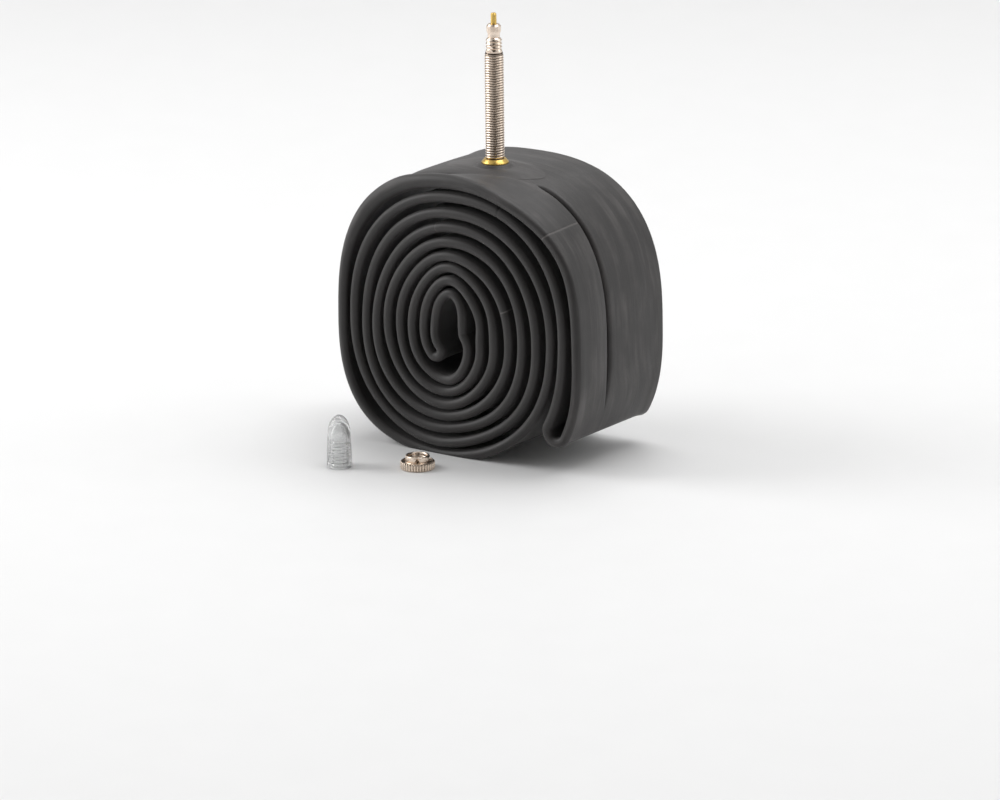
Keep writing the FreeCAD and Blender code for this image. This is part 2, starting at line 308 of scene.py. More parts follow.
def marks_at(turn, y, start_layer):
    """Tone and depth of the transverse marks at these points of one arm."""
    tone = np.zeros(np.broadcast(turn, y).shape)
    depth = np.zeros_like(tone)
    x, z = strip_middle(turn, start_layer)
    per_degree = np.radians(1.0) * np.hypot(x - CENTRE_X, z - CENTRE_Z)
    for arm, near, far, far_y, deep, strength in MARKS:
        if arm != start_layer:
            continue
        along = np.clip((y - TUBE_LOW[1]) / (far_y - TUBE_LOW[1]), 0, 1)
        away = (turn - near - (far - near) * along) * per_degree
        line = np.exp(-(away / MARK_WIDE) ** 2) * ease((far_y + 0.3 - y) / 1.0)
        tone += strength * line
        depth += deep * line
    return tone, depth


def arm_turns(start_layer, turns):
    """Stations down an arm, closer together where a mark crosses it."""
    last = 360.0 * turns + OUTER_BEND
    stations = [np.linspace(INNER_BEND, last, round((last - INNER_BEND) / ARM_STEP) + 1)]
    for arm, near, far in (mark[:3] for mark in MARKS):
        if arm == start_layer:
            low, high = min(near, far) - MARK_REACH, max(near, far) + MARK_REACH
            stations.append(np.arange(low, high, MARK_STEP))
    found = np.unique(np.round(np.concatenate(stations), 3))
    keep = np.concatenate([[True], np.diff(found) > LEAST_STEP])
    return found[keep]


# ---- The sweep ----

BEAD_STEPS = 6
HAIRPIN_STEPS = 16
PLAIN_COLUMNS = 12           # between the beads of a face with no split
FRONT_COLUMNS = 7            # in front of the split
REAR_COLUMNS = 11            # and behind it


def face_columns(turn, start_layer, clustered):
    """y of each column of one face of the strip, edge to edge, one row per station."""
    low = front_edge(turn, start_layer)
    high = rear_edge(turn, start_layer)
    bead = front_bead(turn, start_layer)
    quarter = np.linspace(0, np.pi / 2, BEAD_STEPS + 1)[None, :]
    near = low + bead * (1 - np.cos(quarter))
    far = high - BEAD_R * (1 - np.cos(quarter[:, ::-1]))
    start, end = low + bead, high - BEAD_R
    if not clustered:
        inner = start + (end - start) * np.linspace(0, 1, PLAIN_COLUMNS)[None, 1:-1]
        return np.concatenate([near, inner, far], axis=1)
    middle = split_place(turn, start_layer)
    split = middle + np.array(CLUSTER)[None, :]
    front_part = start + (split[:, :1] - start) * np.linspace(0, 1, FRONT_COLUMNS)[None, 1:-1]
    rear_part = split[:, -1:] + (end - split[:, -1:]) * np.linspace(0, 1, REAR_COLUMNS)[None, 1:-1]
    return np.concatenate([near, front_part, split, rear_part, far], axis=1)


def join_faces(side_one, side_two):
    """One closed ring per station: side one from front to rear, then side two back to the front."""
    return np.concatenate([side_one, side_two[:, -2:0:-1]], axis=1)


def dustiness(turn, y, start_layer):
    """How dusty the outer wall has become: most on the right of the outermost layer."""
    return within(past_top(turn, start_layer), DUST_SPAN) + 0 * y


def arm_rings(start_layer, turns):
    """Sections down an arm, from its inner hairpin to its outer one.  Side one comes first in each
    ring: it faces outward on the first arm, and inward on the second."""
    turn = arm_turns(start_layer, turns)[:, None]
    first_arm = start_layer == 0
    facing = 1.0 if first_arm else -1.0
    outer_y = face_columns(turn, start_layer, first_arm)
    inner_y = face_columns(turn, start_layer, not first_arm)
    outer_tone, outer_cut = marks_at(turn, outer_y, start_layer)
    inner_tone, inner_cut = marks_at(turn, inner_y, start_layer)
    outer = half_thickness(turn, outer_y, start_layer) + outer_relief(turn, outer_y, start_layer)
    outer = outer - outer_cut + lean(turn, outer_y, start_layer)
    inner = inner_cut - half_thickness(turn, inner_y, start_layer) + lean(turn, inner_y, start_layer)
    sides = [(outer, outer_y, outer_tone, dustiness(turn, outer_y, start_layer)),
             (inner, inner_y, inner_tone, 0 * inner_tone)]
    if not first_arm:
        sides.reverse()
    offset, y, tone, dust = [join_faces(one, two) for one, two in zip(*sides)]
    x, z = strip_middle(turn[:, 0], start_layer)
    nx, nz = strip_outward(turn[:, 0], start_layer)
    return {
        "middle": np.stack([x, z], axis=1),
        "normal": np.stack([nx, nz], axis=1) * facing,
        "offset": offset * facing,
        "y": y,
        "tone": tone,
        "dust": dust,
    }


def hairpin_rings(before, after):
    """Sections round a half circle, from the last station of one run to the first of the next."""
    start, end = before["middle"][-1], after["middle"][0]
    centre = (start + end) / 2
    spoke = start - centre
    travel = start - before["middle"][-2]
    forward = np.array([spoke[1], -spoke[0]])
    forward *= np.sign(forward @ travel)
    side = np.sign(spoke @ before["normal"][-1])
    share = np.linspace(0, 1, HAIRPIN_STEPS + 1)[1:-1, None]
    ray = spoke * np.cos(np.pi * share) + forward * np.sin(np.pi * share)
    rings = {"middle": centre + ray, "normal": side * ray / np.linalg.norm(spoke)}
    for key in ("offset", "y", "tone", "dust"):
        rings[key] = before[key][-1] * (1 - share) + after[key][0] * share
    return rings


def sweep_rings():
    """The whole ring of tube as one closed run of sections."""
    outward_run = arm_rings(0, 4)
    return_run = {key: values[::-1] for key, values in arm_rings(1, 3).items()}
    runs = [outward_run, hairpin_rings(outward_run, return_run)]
    runs += [return_run, hairpin_rings(return_run, outward_run)]
    return {key: np.concatenate([run[key] for run in runs]) for key in outward_run}


def make_tube():
    rings = sweep_rings()
    count, columns = rings["y"].shape
    spot = rings["middle"][:, None, :] + rings["normal"][:, None, :] * rings["offset"][:, :, None]
    verts = np.stack([spot[:, :, 0], rings["y"], floor_rest(spot[:, :, 1])], axis=-1)
    run = np.linalg.norm(np.diff(rings["middle"], axis=0, append=rings["middle"][:1]), axis=1)
    along = np.concatenate([[0.0], np.cumsum(run)])
    around = np.linalg.norm(np.diff(verts, axis=1, append=verts[:, :1]), axis=-1)
    across = np.concatenate([np.zeros((count, 1)), np.cumsum(around, axis=1)], axis=1)
    i, j = np.meshgrid(np.arange(count), np.arange(columns), indexing="ij")
    steps = ((0, 0), (1, 0), (1, 1), (0, 1))
    faces = np.stack([((i + a) % count) * columns + (j + b) % columns for a, b in steps], axis=-1)
    uv = np.stack([np.stack([along[i + a], across[i, j + b]], axis=-1) for a, b in steps], axis=2)
    piece = mesh_object("rolled_tube", verts.reshape(-1, 3), faces.reshape(-1, 4))
    strip = piece.data.uv_layers.new(name="strip")
    strip.uv.foreach_set("vector", (uv * MM).astype(np.float32).ravel())
    for name in ("tone", "dust"):
        layer = piece.data.attributes.new(name, "FLOAT", "POINT")
        layer.data.foreach_set("value", rings[name].astype(np.float32).ravel())
    return piece


def mesh_object(name, verts_mm, faces, smooth=True):
    """A mesh piece from points in millimetres."""
    mesh = bpy.data.meshes.new(name)
    mesh.from_pydata((np.asarray(verts_mm) * MM).tolist(), [], [tuple(face) for face in faces])
    mesh.validate()
    mesh.update()
    piece = bpy.data.objects.new(name, mesh)
    bpy.context.scene.collection.objects.link(piece)
    if smooth:
        mesh.shade_smooth()
    return piece


# ---- Turned pieces ----

def ring_points(profile, segments, centre):
    """Rings of points for a (radius, height) profile turned about a vertical axis."""
    angle = 2 * np.pi * np.arange(segments) / segments
    radius, height = np.array(profile).T[:, :, None]
    x = centre[0] + radius * np.cos(angle)
    y = centre[1] + radius * np.sin(angle)
    return np.stack([x, y, height + 0 * x], axis=-1)


def ring_faces(rows, segments, closed):
    """Quads between rows of a turned piece; closed also joins the last row to the first."""
    faces = []
    for row in range(rows if closed else rows - 1):
        for column in range(segments):
            a, b = row * segments, (row + 1) % rows * segments
            other = (column + 1) % segments
            faces.append((a + column, a + other, b + other, b + column))
    return faces


def clean(piece, merge_mm=0.0005):
    """Merge points that coincide and turn every face outward."""
    work = bmesh.new()
    work.from_mesh(piece.data)
    bmesh.ops.remove_doubles(work, verts=work.verts, dist=merge_mm * MM)
    bmesh.ops.dissolve_degenerate(work, edges=work.edges, dist=merge_mm * MM / 2)
    bmesh.ops.recalc_face_normals(work, faces=work.faces)
    work.to_mesh(piece.data)
    work.free()
    return piece


def crisp(piece, degrees=32.0):
    """Smooth shading that breaks at the piece's real edges."""
    piece.data.shade_smooth()
    piece.data.set_sharp_from_angle(angle=math.radians(degrees))
    return piece


def add_grime_and_shade(piece, share_at):
    """Store each point's share of dirtiness and painted shade, 0 to 1, from a function of its place in
    millimetres.
    """
    spots = np.empty(len(piece.data.vertices) * 3)
    piece.data.vertices.foreach_get("co", spots)
    shares = share_at(spots.reshape(-1, 3) / MM)
    layer = piece.data.attributes.new("grime_and_shade", "FLOAT", "POINT")
    layer.data.foreach_set("value", np.clip(shares, 0, 1).astype(np.float32))
    return piece


THREAD_STOPS = 8             # points along one pitch of a thread


def thread_rows(low, high, size, centre, segments, outside=True):
    """Points and quads of a right-handed thread's wall, for a size of radius, depth and pitch.
    Its rows follow the helix, and its ends run out into level rings.  Outside, the thread is cut
    into a shaft; inside, it stands in a hole."""
    radius, deep, pitch = size
    stops = [step / THREAD_STOPS for step in range(THREAD_STOPS)]
    smooth_r = radius - deep if outside else radius
    turns = math.ceil((high - low) / pitch) + 1
    points = []
    for turn in range(-1, turns + 1):
        for stop in stops:
            cut = 0.5 - 0.5 * math.cos(2 * math.pi * stop)
            for column in range(segments):
                share = column / segments
                raw = low + (turn + stop + share) * pitch
                run_out = max(0.0, min(pitch, raw - low, high - raw)) / pitch
                reach = smooth_r + (1 - cut) * run_out * (deep if outside else -deep)
                angle = 2 * math.pi * share
                points.append((centre[0] + reach * math.cos(angle),
                               centre[1] + reach * math.sin(angle),
                               min(high, max(low, raw))))
    rows = (turns + 2) * len(stops)
    faces = []
    for row in range(rows - 1):
        for column in range(segments):
            a = row * segments + column
            b = a + 1
            if column + 1 == segments:
                if row + 1 + len(stops) >= rows:
                    continue
                b = (row + len(stops)) * segments
            faces.append((a, b, b + segments, a + segments))
    return points, faces


def add_part(points, faces, more_points, more_faces):
    """Append one set of points and faces to another."""
    start = len(points)
    points.extend(more_points)
    faces.extend(tuple(index + start for index in face) for face in more_faces)


def add_rings(points, faces, rings):
    """Append the wall that runs through rings of points."""
    rows, segments = rings.shape[:2]
    add_part(points, faces, rings.reshape(-1, 3).tolist(), ring_faces(rows, segments, False))


STEM_SEGMENTS = 72
COLLAR_SEGMENTS = 96
STEM_AXIS = (0.0, 0.0)
STEM_CHAMFER = 0.25
STEM_FLANGE_THICK = 0.7
SEAT_GAP = 0.02              # between the gasket and the step that it seats on
CORE_BORE_R = 2.25           # the threaded upper bore
GASKET_BORE_R = 1.8          # the narrower bore that the gasket seats on
AIR_BORE_R = 1.3
AIR_BORE_TOP = 102.0


def make_stem():
    """The stem with its cut thread, its foot flange, and the stepped bore that holds the core."""
    top = STEM_HIGH[2]
    thread_low, thread_high = COLLAR_HIGH[2], top - STEM_CHAMFER
    root_r = STEM_THREAD_R - STEM_THREAD_DEEP
    step_z = GASKET_LOW[2] - SEAT_GAP
    flange_r, flange_low = STEM_HIGH[0], STEM_LOW[2]
    flange_high = flange_low + STEM_FLANGE_THICK
    profile = [
        (root_r, thread_high),
        (root_r - 0.05, top),
        (CORE_BORE_R, top),
        (CORE_BORE_R, step_z),
        (GASKET_BORE_R, step_z),
        (GASKET_BORE_R, AIR_BORE_TOP),
        (AIR_BORE_R, AIR_BORE_TOP - 0.5),
        (AIR_BORE_R, flange_low),
        (flange_r, flange_low),
        (flange_r, flange_high),
        (COLLAR_BORE_R, flange_high),
        (COLLAR_BORE_R, thread_low - 0.05),
        (root_r, thread_low),
    ]
    points, faces = [], []
    add_rings(points, faces, ring_points(profile, STEM_SEGMENTS, STEM_AXIS))
    size = (STEM_THREAD_R, STEM_THREAD_DEEP, STEM_PITCH)
    add_part(points, faces, *thread_rows(thread_low, thread_high, size, STEM_AXIS, STEM_SEGMENTS))
    piece = crisp(clean(mesh_object("threaded_stem", points, faces)), 60)

    # Darker towards the thread's roots: dirtiness, and painted shade where the roots lie in shade.
    def grime_and_shade(spot):
        return (STEM_THREAD_R - np.hypot(spot[:, 0], spot[:, 1])) / STEM_THREAD_DEEP

    return add_grime_and_shade(piece, grime_and_shade)


COLLAR_INSET = 0.25          # how far the rim stands in from the frame's plain collar


def make_collar():
    """The brass collar under the thread: a thin rim that rises in a cone to the stem."""
    low, high, rim_r = COLLAR_LOW[2], COLLAR_HIGH[2], COLLAR_HIGH[0] - COLLAR_INSET
    profile = [
        (COLLAR_BORE_R, low),
        (rim_r - 0.1, low),
        (rim_r, low + 0.1),
        (rim_r, low + 0.34),
        (rim_r - 0.1, low + 0.46),
        (STEM_THREAD_R + 0.45, high - 0.12),
        (STEM_THREAD_R + 0.3, high),
        (COLLAR_BORE_R, high),
    ]
    rings = ring_points(profile, COLLAR_SEGMENTS, STEM_AXIS)
    faces = ring_faces(len(profile), COLLAR_SEGMENTS, True)
    return crisp(clean(mesh_object("brass_collar", rings.reshape(-1, 3), faces)), 38)


# ---- The patch ----

PATCH_SPOKES = 144
PATCH_RINGS = 30
PATCH_FEATHER = 3.6          # how far in from its rim the pad reaches full thickness
PATCH_SINK = 0.25            # how deep its underside lies in the tube's wall
BOSS_R = 4.85
BOSS_SIDE = 0.8
BOSS_GAP = 0.03              # between the boss and the collar
GROOVE_DEEP = 0.16           # the shallow ring round the boss
GROOVE_OUT = 1.3
GROOVE_WIDE = 0.5
SEARCH_STEPS = 26


def top_turn(x):
    """The turn at which the outermost layer's outer wall stands at this x."""
    low = np.full_like(x, TOP_COIL + 30.0)
    high = np.full_like(x, TOP_COIL + 150.0)
    for step in range(SEARCH_STEPS):
        middle = (low + high) / 2
        here = strip_middle(middle, 0)[0] + strip_outward(middle, 0)[0] * WEB_HALF
        low = np.where(here < x, middle, low)
        high = np.where(here < x, high, middle)
    return (low + high) / 2


def skin_height(x, y):
    """Height of the tube's top at this x and y."""
    turn = top_turn(x)
    offset = half_thickness(turn, y, 0) + outer_relief(turn, y, 0) + lean(turn, y, 0)
    nz = strip_outward(turn, 0)[1]
    return strip_middle(turn, 0)[1] + offset / nz


def make_patch():
    """The oval pad with a feathered rim, drawn up into a moulded boss under the collar."""
    half = (PATCH_HIGH - PATCH_LOW) / 2
    share = np.linspace(0, 1, PATCH_RINGS)[:, None] ** 1.25
    angle = 2 * np.pi * np.arange(PATCH_SPOKES)[None, :] / PATCH_SPOKES
    edge_r = 1.0 / np.hypot(np.cos(angle) / half[0], np.sin(angle) / half[1])
    edge_r = edge_r * (1 + 0.012 * np.sin(5 * angle) + 0.01 * np.sin(9 * angle + 1))
    radius = COLLAR_BORE_R + (edge_r - COLLAR_BORE_R) * share
    x, y = radius * np.cos(angle), radius * np.sin(angle)
    skin = skin_height(x, y)
    pad = PATCH_THICK * ease((edge_r - radius) / PATCH_FEATHER)
    boss_top = COLLAR_LOW[2] - BOSS_GAP
    boss = ease((BOSS_R + BOSS_SIDE - radius) / BOSS_SIDE)
    groove = GROOVE_DEEP * np.exp(-((radius - BOSS_R - GROOVE_OUT) / GROOVE_WIDE) ** 2)
    level = skin + pad - groove
    upper = level + (boss_top - level) * boss
    lower = skin - PATCH_SINK
    rows = np.concatenate([np.stack([x, y, upper], axis=-1), np.stack([x, y, lower], axis=-1)[::-1]])
    faces = ring_faces(2 * PATCH_RINGS, PATCH_SPOKES, True)
    return crisp(clean(mesh_object("valve_pad", rows.reshape(-1, 3), faces)), 60)


# ---- The rim nut ----

NUT_KNURLS = 36
NUT_SEGMENTS = 288
NUT_SKIRT = 2.5
NUT_LAND = NUT_SKIRT - 0.22  # the flat between the knurl and the collar
NUT_COLLAR_R = 3.8
PIT_R = 0.72                 # the four pits at the collar's foot
PIT_DEEP = 0.6
PIT_UP = 0.42                # how far their centres stand above the land
PIT_TURN = math.radians(-56.0)
KNURL_DEEP = 0.3


def knurl_depth(angle, count):
    """Depth share of a rolled straight knurl: rounded ridges with narrow valleys between them."""
    share = (angle * count / (2 * np.pi)) % 1.0
    return np.abs(np.cos(np.pi * share)) ** 5


def make_rim_nut():
    """A knurled skirt round a smooth raised collar, threaded through, with four pits at its foot."""
    centre = ((NUT_LOW[0] + NUT_HIGH[0]) / 2, (NUT_LOW[1] + NUT_HIGH[1]) / 2)
    outer_r = (NUT_HIGH[0] - NUT_LOW[0]) / 2
    high = NUT_HIGH[2]
    bore_r = STEM_THREAD_R
    knurled = [                  # radius, height, and share of the knurl's depth
        (outer_r - 0.45, 0.0, 0.0),
        (outer_r - 0.2, 0.08, 0.5),
        (outer_r - 0.04, 0.3, 1.0),
        (outer_r, 0.5, 1.0),
        (outer_r, 1.2, 1.0),
        (outer_r, NUT_SKIRT - 0.6, 1.0),
        (outer_r - 0.05, NUT_SKIRT - 0.35, 1.0),
        (outer_r - 0.25, NUT_SKIRT - 0.08, 0.6),
        (outer_r - 0.55, NUT_SKIRT, 0.0),
    ]
    smooth_part = [(outer_r - 0.75, NUT_SKIRT - 0.02), (outer_r - 0.85, NUT_LAND + 0.06)]
    smooth_part += [(NUT_COLLAR_R + 0.8 - 0.07 * step, NUT_LAND) for step in range(11)]
    smooth_part += [(NUT_COLLAR_R + 0.03, NUT_LAND + 0.06)]
    smooth_part += [(NUT_COLLAR_R, NUT_LAND + 0.12 + 0.08 * step) for step in range(12)]
    smooth_part += [
        (NUT_COLLAR_R, high - 0.35),
        (NUT_COLLAR_R - 0.06, high - 0.2),
        (NUT_COLLAR_R - 0.2, high - 0.05),
        (NUT_COLLAR_R - 0.35, high),
        (bore_r + 0.32, high),
        (bore_r + 0.12, high - 0.12),
        (bore_r, high - 0.35),
    ]
    foot = [(bore_r, 0.35), (bore_r + 0.12, 0.12), (bore_r + 0.35, 0.0)]
    profile = [(r, h) for r, h, share in knurled] + smooth_part
    rings = ring_points(profile, NUT_SEGMENTS, (0.0, 0.0))
    angle = 2 * np.pi * np.arange(NUT_SEGMENTS) / NUT_SEGMENTS
    fade = np.array([share for r, h, share in knurled])[:, None]
    cut = KNURL_DEEP * fade * knurl_depth(angle, NUT_KNURLS)[None, :]
    radius = np.array([r for r, h, share in knurled])[:, None]
    rings[:len(knurled), :, :2] *= (1 - cut / radius)[:, :, None]
    pits = []
    for quarter in range(4):
        pit = PIT_TURN + math.pi / 2 * quarter
        x, y = NUT_COLLAR_R * math.cos(pit), NUT_COLLAR_R * math.sin(pit)
        pits.append(np.array([x, y, NUT_LAND + PIT_UP]))
    for pit in pits:
        share = PIT_DEEP * ease((1.08 - np.linalg.norm(rings - pit, axis=-1) / PIT_R) / 0.3)
        share = np.where(rings[:, :, 2] > NUT_LAND - 0.01, share, 0.0)[:, :, None]
        rings -= share * np.array([pit[0] / NUT_COLLAR_R, pit[1] / NUT_COLLAR_R, 0.6])
    points, faces = [], []
    add_rings(points, faces, rings + np.array([*centre, 0.0]))
    add_rings(points, faces, ring_points(foot + profile[:1], NUT_SEGMENTS, centre))
    size = (bore_r, STEM_THREAD_DEEP, STEM_PITCH)
    add_part(points, faces, *thread_rows(0.35, high - 0.35, size, centre, NUT_SEGMENTS, outside=False))
    piece = crisp(clean(mesh_object("knurled_rim_nut", points, faces)), 32)

    # Darker in the knurl's valleys, down the bore and in the four pits: dirtiness, and painted shade in
    # these hollows.
    def grime_and_shade(spot):
        place = spot - np.array([*centre, 0.0])
        radius = np.hypot(place[:, 0], place[:, 1])
        in_knurl = np.where(radius > NUT_COLLAR_R + 1.2, 1.1 * (outer_r - radius) / KNURL_DEEP, 0.0)
        in_bore = np.where(radius < bore_r + 0.1, 0.8 * ease(1.3 * (high - place[:, 2]) / high), 0.0)
        dirt_and_shade = np.where(place[:, 2] > 0.3, np.minimum(in_knurl, 0.8) + in_bore, 0.0)
        for pit in pits:
            near = np.linalg.norm(place - pit, axis=-1) / PIT_R
            dirt_and_shade = np.where(radius > bore_r + 0.15, np.maximum(dirt_and_shade, ease((1.3 - near) / 0.5)), dirt_and_shade)
        return dirt_and_shade

    return add_grime_and_shade(piece, grime_and_shade)


# ---- The dust cap ----

CAP_SEGMENTS = 216
CAP_RIBS = 18
CAP_RIB_DEEP = 0.16
CAP_FOOT = 0.6               # height of its rounded foot
CAP_SHOULDER = 10.8
CAP_SHOULDER_R = 3.55
CAP_BORE_R = 2.72
CAP_THREAD_LOW = 0.5
CAP_THREAD_HIGH = 9.2


def make_dust_cap():
    """A translucent bullet with upright ribs outside and a thread inside its mouth."""
    centre = ((CAP_LOW[0] + CAP_HIGH[0]) / 2, (CAP_LOW[1] + CAP_HIGH[1]) / 2)
    foot_r = (CAP_HIGH[0] - CAP_LOW[0]) / 2
    high = CAP_HIGH[2]
    outside = [(foot_r - 0.5, 0.0), (foot_r - 0.18, 0.05), (foot_r - 0.03, 0.25), (foot_r, CAP_FOOT)]
    for share in np.linspace(0, 1, 17)[1:]:
        side_r = foot_r + (CAP_SHOULDER_R - foot_r) * share ** 1.3
        outside.append((side_r, CAP_FOOT + (CAP_SHOULDER - CAP_FOOT) * share))
    for angle in np.radians(range(5, 90, 5)):
        dome_r = CAP_SHOULDER_R * math.cos(angle) ** 1.1
        outside.append((dome_r, CAP_SHOULDER + (high - CAP_SHOULDER) * math.sin(angle)))
    outside.append((0.0, high))
    rings = ring_points(outside, CAP_SEGMENTS, (0.0, 0.0))
    angle = 2 * np.pi * np.arange(CAP_SEGMENTS) / CAP_SEGMENTS
    height = rings[:, :1, 2]
    ribbed = ease((height - 0.7) / 0.8) * ease((CAP_SHOULDER + 0.6 - height) / 2.4)
    cut = CAP_RIB_DEEP * ribbed * knurl_depth(angle, CAP_RIBS)[None, :]
    radius = np.maximum(np.hypot(rings[:, :, 0], rings[:, :, 1]), 0.001)
    rings[:, :, :2] *= (1 - cut / radius)[:, :, None]
    points, faces = [], []
    add_rings(points, faces, rings + np.array([*centre, 0.0]))
    mouth = [outside[0], (CAP_BORE_R + 0.3, 0.0), (CAP_BORE_R, CAP_THREAD_LOW)]
    add_rings(points, faces, ring_points(mouth, CAP_SEGMENTS, centre))
    size = (CAP_BORE_R, CAP_THREAD_DEEP, CAP_PITCH)
    wall = thread_rows(CAP_THREAD_LOW, CAP_THREAD_HIGH, size, centre, CAP_SEGMENTS, outside=False)
    add_part(points, faces, *wall)
    roof = [
        (CAP_BORE_R, CAP_THREAD_HIGH),
        (CAP_BORE_R, 9.8),
        (CAP_BORE_R - 0.5, 11.3),
        (1.6, 12.9),
        (0.8, 13.7),
        (0.0, 14.0),
    ]
    add_rings(points, faces, ring_points(roof, CAP_SEGMENTS, centre))
    return crisp(clean(mesh_object("clear_dust_cap", points, faces)), 38)


# ---- Materials ----

def new_material(name):
    """A node material and its main shader."""
    material = bpy.data.materials.new(name)
    material.use_nodes = True
    return material, material.node_tree, material.node_tree.nodes["Principled BSDF"]


def add_node(tree, kind, **values):
    """A node with some of its properties and unlinked sockets set."""
    node = tree.nodes.new(kind)
    for key, value in values.items():
        if hasattr(node, key):
            setattr(node, key, value)
        else:
            node.inputs[key.replace("_", " ")].default_value = value
    return node


def scaled_noise(tree, source, scale, detail=4.0, roughness=0.6):
    """Noise over a coordinate that is stretched by scale first, in features per metre."""
    mapping = add_node(tree, "ShaderNodeMapping")
    mapping.inputs["Scale"].default_value = scale
    tree.links.new(source, mapping.inputs["Vector"])
    noise = add_node(tree, "ShaderNodeTexNoise", Scale=1.0, Detail=detail, Roughness=roughness)
    tree.links.new(mapping.outputs["Vector"], noise.inputs["Vector"])
    return noise.outputs["Fac"]


def remap(tree, value, low, high, to_low=0.0, to_high=1.0):
    node = add_node(tree, "ShaderNodeMapRange", clamp=True)
    node.inputs["From Min"].default_value = low
    node.inputs["From Max"].default_value = high
    node.inputs["To Min"].default_value = to_low
    node.inputs["To Max"].default_value = to_high
    tree.links.new(value, node.inputs["Value"])
    return node.outputs["Result"]


def maths(tree, operation, first, second):
    """A math node; the second value is another node's output or a plain number."""
    node = add_node(tree, "ShaderNodeMath", operation=operation)
    tree.links.new(first, node.inputs[0])
    if isinstance(second, (int, float)):
        node.inputs[1].default_value = second
    else:
        tree.links.new(second, node.inputs[1])
    return node.outputs["Value"]


def vector_maths(tree, operation, first, second=None):
    """A vector math node on one output, and on a plain vector if one is given."""
    node = add_node(tree, "ShaderNodeVectorMath", operation=operation)
    tree.links.new(first, node.inputs[0])
    if second is not None:
        node.inputs[1].default_value = second
    return node.outputs["Value" if operation == "DOT_PRODUCT" else "Vector"]


def mix_colours(tree, share, first, second):
    """Mix two colours; each is a node's output or a colour."""
    node = add_node(tree, "ShaderNodeMix", data_type="RGBA")
    tree.links.new(share, node.inputs["Factor"])
    for socket, colour in ((node.inputs[6], first), (node.inputs[7], second)):
        if isinstance(colour, tuple):
            socket.default_value = (*colour, 1.0)
        else:
            tree.links.new(colour, socket)
    return node.outputs[2]


def add_bump(tree, shader, height, distance, strength=1.0):
    """Bump from a height of 0 to 1 that stands for distance, in metres."""
    node = add_node(tree, "ShaderNodeBump", Strength=strength, Distance=distance)
    tree.links.new(height, node.inputs["Height"])
    tree.links.new(node.outputs["Normal"], shader.inputs["Normal"])


WHITE = (1.0, 1.0, 1.0)
RUBBER = (0.0250, 0.0226, 0.0222)
RUBBER_DEEP = (0.0175, 0.0158, 0.0155)
RUBBER_DUST = (0.082, 0.075, 0.073)
SPLICE_PALE = (0.13, 0.12, 0.115)
SPLICE_DARK = (0.004, 0.004, 0.004)
RUBBER_RELIEF = 0.00009      # metres
STREAK_SHARE = 0.65          # of the relief; the grain has the rest


def strip_coordinates(tree):
    return add_node(tree, "ShaderNodeUVMap", uv_map="strip").outputs["UV"]


def object_coordinates(tree):
    return add_node(tree, "ShaderNodeTexCoord").outputs["Object"]


def attribute(tree, name):
    """A value stored on the piece's points."""
    return add_node(tree, "ShaderNodeAttribute", attribute_name=name).outputs["Fac"]


def rubber_material(name, coordinates):
    """Butyl rubber: matte, dark and warm, with fine streaks along the strip.  Its colour and its
    blotches are returned with it, for a dusty bloom to be mixed in."""
    material, tree, shader = new_material(name)
    source = coordinates(tree)
    grain = scaled_noise(tree, source, (2600, 2600, 2600), 3.0)
    streaks = scaled_noise(tree, source, (45, 1500, 300), 5.0, 0.65)
    blotches = scaled_noise(tree, source, (70, 120, 110), 4.0, 0.55)
    colour = mix_colours(tree, remap(tree, blotches, 0.35, 0.7), RUBBER_DEEP, RUBBER)
    fine = maths(tree, "MULTIPLY", remap(tree, streaks, 0.5, 0.75), 0.30)
    colour = mix_colours(tree, fine, colour, RUBBER_DUST)
    tree.links.new(remap(tree, streaks, 0.3, 0.75, 0.44, 0.62), shader.inputs["Roughness"])
    shader.inputs["Specular IOR Level"].default_value = 0.42
    shader.inputs["Sheen Weight"].default_value = 0.12
    shader.inputs["Sheen Roughness"].default_value = 0.5
    fine_relief = maths(tree, "MULTIPLY", grain, 1 - STREAK_SHARE)
    relief = maths(tree, "ADD", fine_relief, maths(tree, "MULTIPLY", streaks, STREAK_SHARE))
    add_bump(tree, shader, relief, RUBBER_RELIEF, 0.8)
    return material, colour, blotches


def tube_material():
    """The tube's rubber, dusty where the dust attribute says, with its splice lines."""
    material, colour, blotches = rubber_material("tube_rubber", strip_coordinates)
    tree = material.node_tree
    wide_streaks = scaled_noise(tree, strip_coordinates(tree), (28, 260, 100), 4.0, 0.6)
    cloudy = remap(tree, blotches, 0.40, 0.62, 0.15, 1.0)
    patchy = maths(tree, "MULTIPLY", remap(tree, wide_streaks, 0.42, 0.70), cloudy)
    dusty = maths(tree, "MULTIPLY", maths(tree, "MULTIPLY", patchy, attribute(tree, "dust")), 0.85)
    colour = mix_colours(tree, dusty, colour, RUBBER_DUST)
    tone = attribute(tree, "tone")
    colour = mix_colours(tree, remap(tree, tone, 0.15, 1.0, 0.0, 0.75), colour, SPLICE_PALE)
    colour = mix_colours(tree, remap(tree, tone, -0.15, -1.0, 0.0, 0.8), colour, SPLICE_DARK)
    tree.links.new(colour, tree.nodes["Principled BSDF"].inputs["Base Color"])
    return material


def patch_material():
    """The patch's rubber, a little dustier all over."""
    material, colour, blotches = rubber_material("patch_rubber", object_coordinates)
    tree = material.node_tree
    colour = mix_colours(tree, remap(tree, blotches, 0.3, 0.65, 0.15, 0.6), colour, RUBBER_DUST)
    tree.links.new(colour, tree.nodes["Principled BSDF"].inputs["Base Color"])
    return material


# The dark colour of dirtiness and painted shade in the plated parts' hollows.
GRIME_AND_SHADE_COLOUR = (0.07, 0.05, 0.035)
GRIME_AND_SHADE_SHARE = 0.94           # how far the dirtiest and most shaded places turn dark: dirtiness and painted shade
